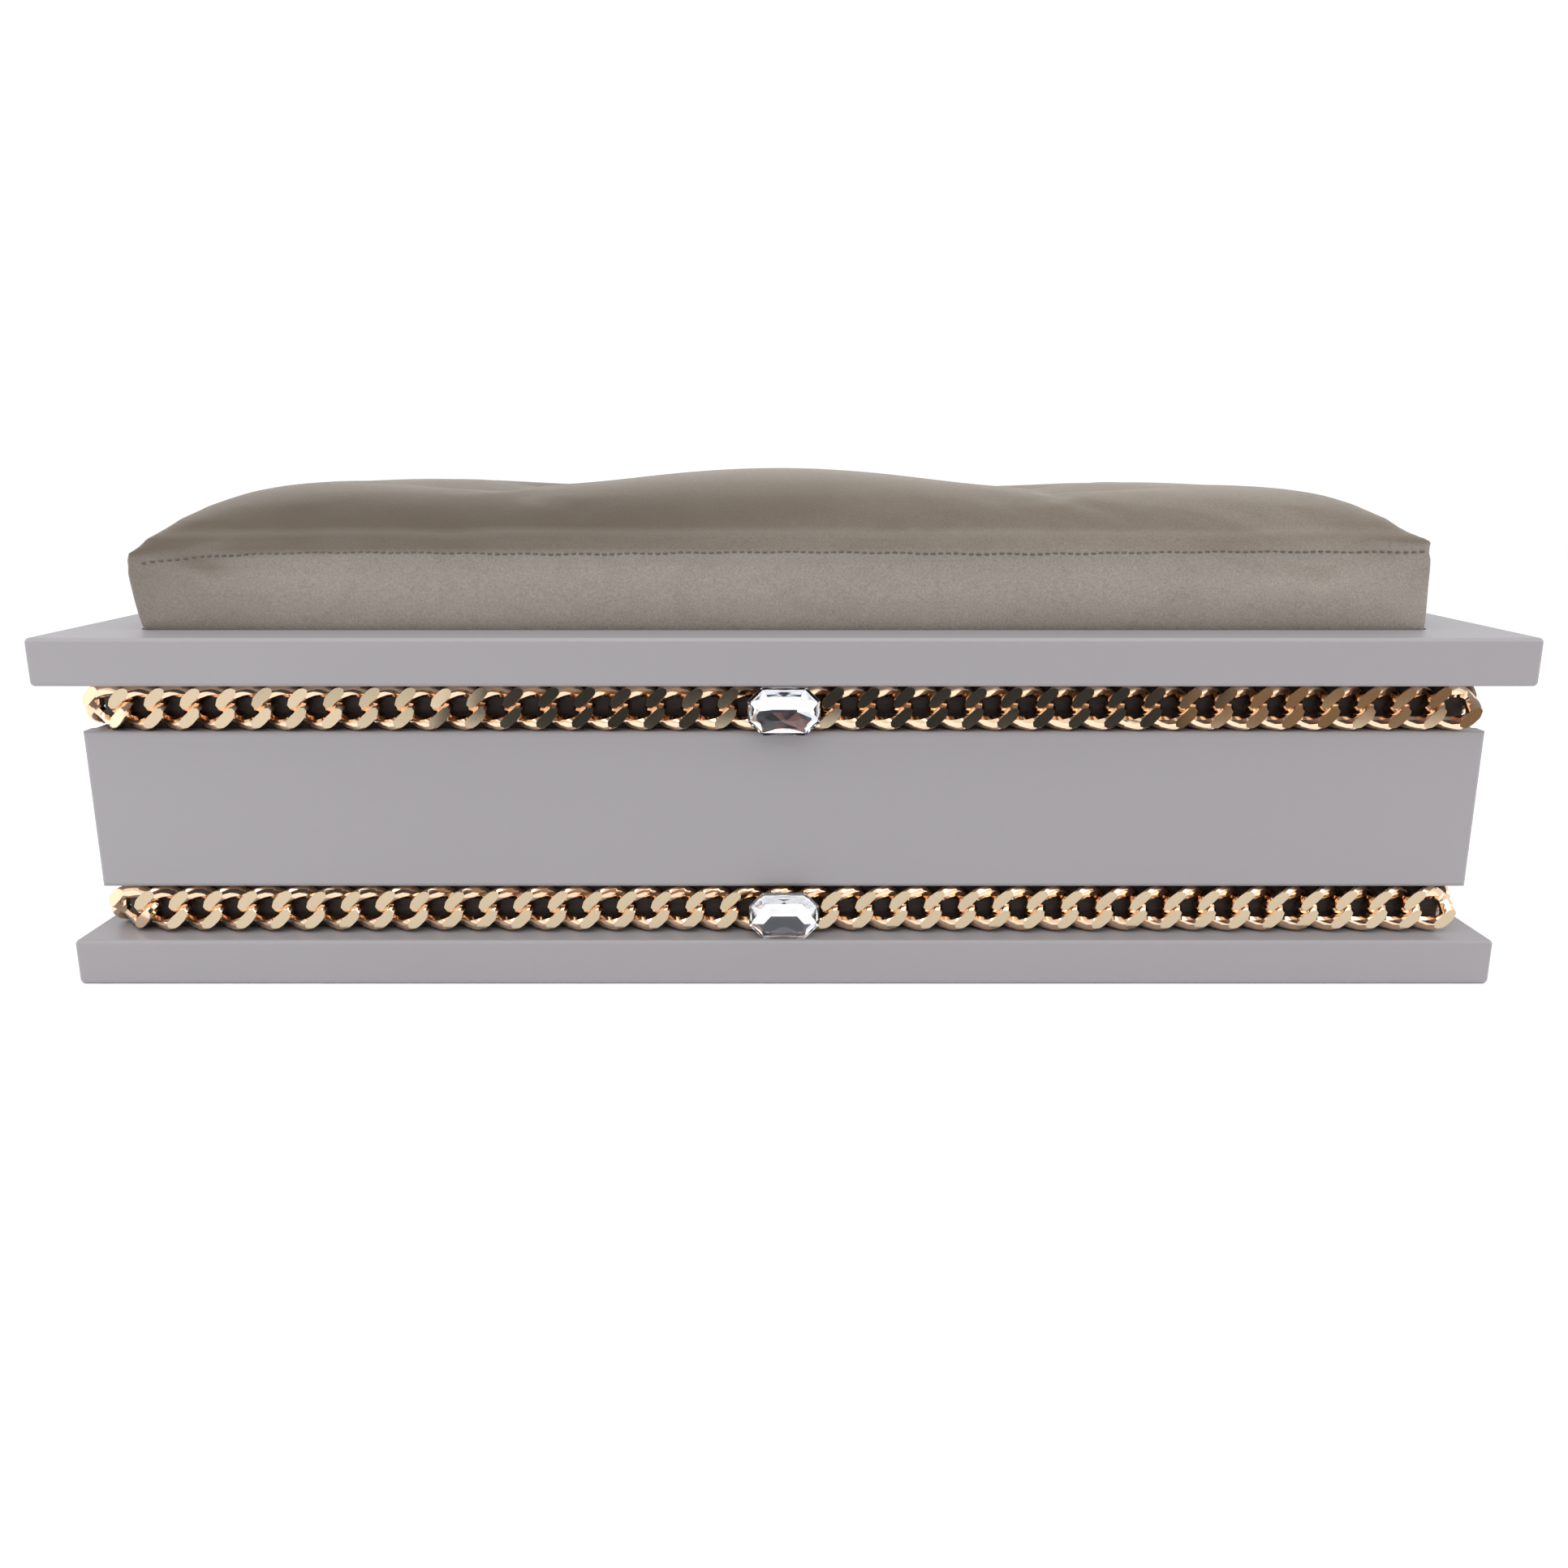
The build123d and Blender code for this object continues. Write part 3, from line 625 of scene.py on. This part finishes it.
def shapeCushion(body):
    only(body)
    finer = body.modifiers.new("finer", "SUBSURF")
    finer.levels = 1
    finer.render_levels = 1
    bpy.ops.object.modifier_apply(modifier="finer")
    for vertex in body.data.vertices:
        spot = vertex.co
        edgeX = abs(spot.x) / padHigh.x
        edgeY = abs(spot.y) / padHigh.y
        if max(edgeX, edgeY) > 0.93 and spot.z < lidTop + 46 * mm:
            # the cloth pinches in along the sewn line, and stands out a little at its corners
            seam = seamHeight(spot.x, spot.y)
            pinch = 0.9 * mm * math.exp(-((spot.z - seam) / (2.2 * mm)) ** 2)
            corner = min(edgeX, edgeY) ** pad["sharp"]
            right = spot.x > 0
            tip, level, curve = pad["ear"][right], pad["earZ"][right], pad["earCurve"][right]
            part = min(max((spot.z - lidTop) / level, 0.0), 1.0)
            over = math.exp(-(max(spot.z - lidTop - level, 0.0) / (3.6 * mm)) ** 2)
            ear = (pad["foot"] + (tip - pad["foot"]) * part ** curve) * over
            push = ear * corner - pinch * (1 - 0.75 * corner)
            if edgeX > 0.93:
                spot.x += math.copysign(push, spot.x)
            if edgeY > 0.93:
                spot.y += math.copysign(push, spot.y)
        if spot.z < padLow.z + 0.3 * mm:
            spot.z = padLow.z + 0.1 * mm
        if spot.z < lidTop + 1.2 * mm:
            spot.x = max(min(spot.x, padHigh.x), -padHigh.x)
            spot.y = max(min(spot.y, padHigh.y), -padHigh.y)
    bpy.ops.object.shade_smooth()


cushion = makeCushion()
finishes["velvet"] = makeVelvet("taupeVelvet", velvet["side"], velvet["top"], velvet["light"], velvet["pile"],
                                seam=lidTop + pad["seam"])
wear(cushion, "velvet")
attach(cushion, "lid")
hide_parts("cushion")
print("cushion faces:", len(cushion.data.polygons))


def makeStitches():
    # one stitch, then a copy each step round the seam
    only(frame["nodes"]["base_slab"])
    bpy.ops.object.select_all(action="DESELECT")
    bpy.ops.mesh.primitive_uv_sphere_add(segments=6, ring_count=4, radius=1.0)
    stitch = bpy.context.object
    stitch.scale = (1.2 * mm, 0.42 * mm, 0.50 * mm)
    settle(stitch)
    bpy.ops.object.shade_smooth()
    places = []
    runs = (((-1, -1), (1, -1), 0.0), ((1, -1), (1, 1), math.pi / 2), ((1, 1), (-1, 1), 0.0),
            ((-1, 1), (-1, -1), math.pi / 2))
    for start, end, turn in runs:
        a = Vector((start[0] * padHigh.x, start[1] * padHigh.y, 0))
        b = Vector((end[0] * padHigh.x, end[1] * padHigh.y, 0))
        count = int((b - a).length / pad["stitch"])
        out = Vector((0, start[1], 0)) if turn == 0.0 else Vector((start[0], 0, 0))
        for i in range(1, count - 1):
            spot = a.lerp(b, (i + 0.5) / count)
            wave = 0.35 * mm * math.sin(spot.x * 37 + spot.y * 29) + 0.15 * mm * math.sin(i * 0.9)
            spot.z = seamHeight(spot.x, spot.y) + wave
            hit, place, normal, face = cushion.ray_cast(spot + out * 0.03, -out)
            if hit:
                places.append(Matrix.Translation(place + out * 0.05 * mm) @ Matrix.Rotation(turn, 4, "Z"))
    piece = copies(stitch, places)
    bpy.data.objects.remove(stitch)
    piece.name = "seam_stitches"
    wear(piece, "thread")
    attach(piece, "lid")
    print("stitches:", len(places))


makeStitches()


def makeButtons():
    # covered buttons: a domed disc, gathered under its rim
    seats = []
    for sx in (-1, 1):
        for sy in (-1, 1):
            x, y = sx * pad["buttonX"], sy * pad["buttonY"]
            hit, place, normal, face = cushion.ray_cast(Vector((x, y, lidTop + 0.1)), Vector((0, 0, -1)))
            seats.append(Matrix.Translation((x, y, place.z)))
    only(frame["nodes"]["base_slab"])
    bpy.ops.object.select_all(action="DESELECT")
    bpy.ops.mesh.primitive_cylinder_add(vertices=28, radius=pad["button"], depth=2.4 * mm, location=(0, 0, 0.2 * mm))
    button = bpy.context.object
    settle(button)
    bpy.ops.object.mode_set(mode="EDIT")
    pick(button, lambda spot, normal: normal.z > 0.9)
    bpy.ops.mesh.inset(thickness=2.2 * mm, depth=0.0)
    bpy.ops.transform.translate(value=(0, 0, 1.3 * mm))
    bpy.ops.mesh.inset(thickness=3.6 * mm, depth=0.0)
    bpy.ops.transform.translate(value=(0, 0, 0.8 * mm))
    bpy.ops.object.mode_set(mode="OBJECT")
    soften = button.modifiers.new("soften", "SUBSURF")
    soften.levels = 2
    soften.render_levels = 2
    bpy.ops.object.modifier_apply(modifier="soften")
    bpy.ops.object.shade_smooth()
    piece = copies(button, seats)
    bpy.data.objects.remove(button)
    piece.name = "covered_buttons"
    wear(piece, "velvet")
    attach(piece, "lid")
    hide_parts("cushion_buttons")


makeButtons()

# ring rolls in the tray
rolls = {"count": 9, "radius": 7.2 * mm, "pitch": 16.0 * mm, "round": 3.2 * mm}


def makeRolls():
    low, high = [Vector(corner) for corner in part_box("ring_rolls")]
    parts = []
    for i in range(rolls["count"]):
        y = low.y + 7 * mm + i * rolls["pitch"]
        only(frame["nodes"]["base_slab"])
        bpy.ops.object.select_all(action="DESELECT")
        bpy.ops.mesh.primitive_cylinder_add(vertices=24, radius=rolls["radius"], depth=high.x - low.x,
                                            location=((low.x + high.x) / 2, y, low.z + 7 * mm),
                                            rotation=(0, math.pi / 2, 0))
        roll = bpy.context.object
        settle(roll)
        bpy.ops.object.mode_set(mode="EDIT")
        pick(roll, lambda spot, normal: abs(normal.x) > 0.9)
        bpy.ops.mesh.bevel(offset=rolls["round"], segments=3, affect="EDGES")
        bpy.ops.object.mode_set(mode="OBJECT")
        bpy.ops.object.shade_smooth_by_angle(angle=math.radians(50))
        parts.append(roll)
    only(*parts)
    bpy.ops.object.join()
    piece = bpy.context.object
    for vertex in piece.data.vertices:
        vertex.co.z = min(max(vertex.co.z, low.z), high.z)
    piece.name = "velvet_ring_rolls"
    wear(piece, "lining")
    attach(piece, "case")
    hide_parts("ring_rolls")


makeRolls()
print("soft pieces ready")

# stage, lights and camera
studio = {"lens": 29.07, "camera": (0.0, -0.651, 0.1945), "pitch": 76.2, "floor": 6.0, "sky": 1.03,
          "key": (0.0, -0.9, 1.5, 14.0, 1.6), "fills": ((-1.5, -0.5, 0.9, 6.0, 1.0), (1.5, -0.5, 0.9, 5.0, 1.0))}
bpy.ops.object.select_all(action="DESELECT")
bpy.ops.mesh.primitive_plane_add(size=studio["floor"])
ground = bpy.context.object
ground.name = "floor"
pale = Finish("paleFloor", Roughness=0.6)
pale.colour(pale.blend(pale.noise(3.0, 2.0), (0.97, 0.97, 0.98), (0.95, 0.95, 0.96)))
ground.data.materials.append(pale.material)


def makeFlag(name, colour, left, right, near, low, top):
    # a studio flag that only reflections see
    bpy.ops.object.select_all(action="DESELECT")
    bpy.ops.mesh.primitive_plane_add(size=1.0, location=((left + right) / 2, near, (low + top) / 2 + 0.001),
                                     rotation=(math.pi / 2, 0, 0))
    flag = bpy.context.object
    flag.scale = (right - left, top - low, 1)
    settle(flag)
    flag.name = name
    cloth = Finish(name + "Cloth", Roughness=0.9)
    cloth.colour(cloth.blend(cloth.noise(6.0), colour, tuple(0.8 * c for c in colour)))
    flag.data.materials.append(cloth.material)
    flag.visible_camera = False
    flag.visible_shadow = False
    flag.visible_diffuse = False


makeFlag("darkFlag", (0.036, 0.042, 0.052), -0.24, 0.30, -0.60, 0.0, 0.2)
makeFlag("tanFlag", (0.34, 0.22, 0.14), 0.30, 0.72, -0.60, 0.0, 0.5)
makeFlag("darkTopFlag", (0.02, 0.018, 0.018), 0.0, 0.30, -0.60, 0.2, 0.7)
makeFlag("roseTopFlag", (0.20, 0.10, 0.08), -0.30, 0.0, -0.60, 0.2, 0.7)

world = bpy.data.worlds.new("studio")
world.use_nodes = True
world.node_tree.nodes["Background"].inputs["Color"].default_value = (1.0, 1.0, 1.0, 1.0)
world.node_tree.nodes["Background"].inputs["Strength"].default_value = studio["sky"]
scene.world = world


def makeLamp(name, x, y, z, power, size):
    lamp = bpy.data.objects.new(name, bpy.data.lights.new(name, "AREA"))
    lamp.data.energy = power
    lamp.data.size = size
    lamp.location = (x, y, z)
    lamp.rotation_euler = (Vector((0, 0, 0.1)) - Vector((x, y, z))).to_track_quat("-Z", "Y").to_euler()
    bpy.context.collection.objects.link(lamp)


makeLamp("key", *studio["key"])
for number, fill in enumerate(studio["fills"]):
    makeLamp("fill%d" % number, *fill)

camera = bpy.data.objects.new("camera", bpy.data.cameras.new("camera"))
camera.data.lens = studio["lens"]
camera.data.sensor_width = 36.0
camera.data.clip_start = 0.01
camera.location = studio["camera"]
camera.rotation_euler = (math.radians(studio["pitch"]), 0, 0)
bpy.context.collection.objects.link(camera)
scene.camera = camera
scene.view_settings.view_transform = "Standard"
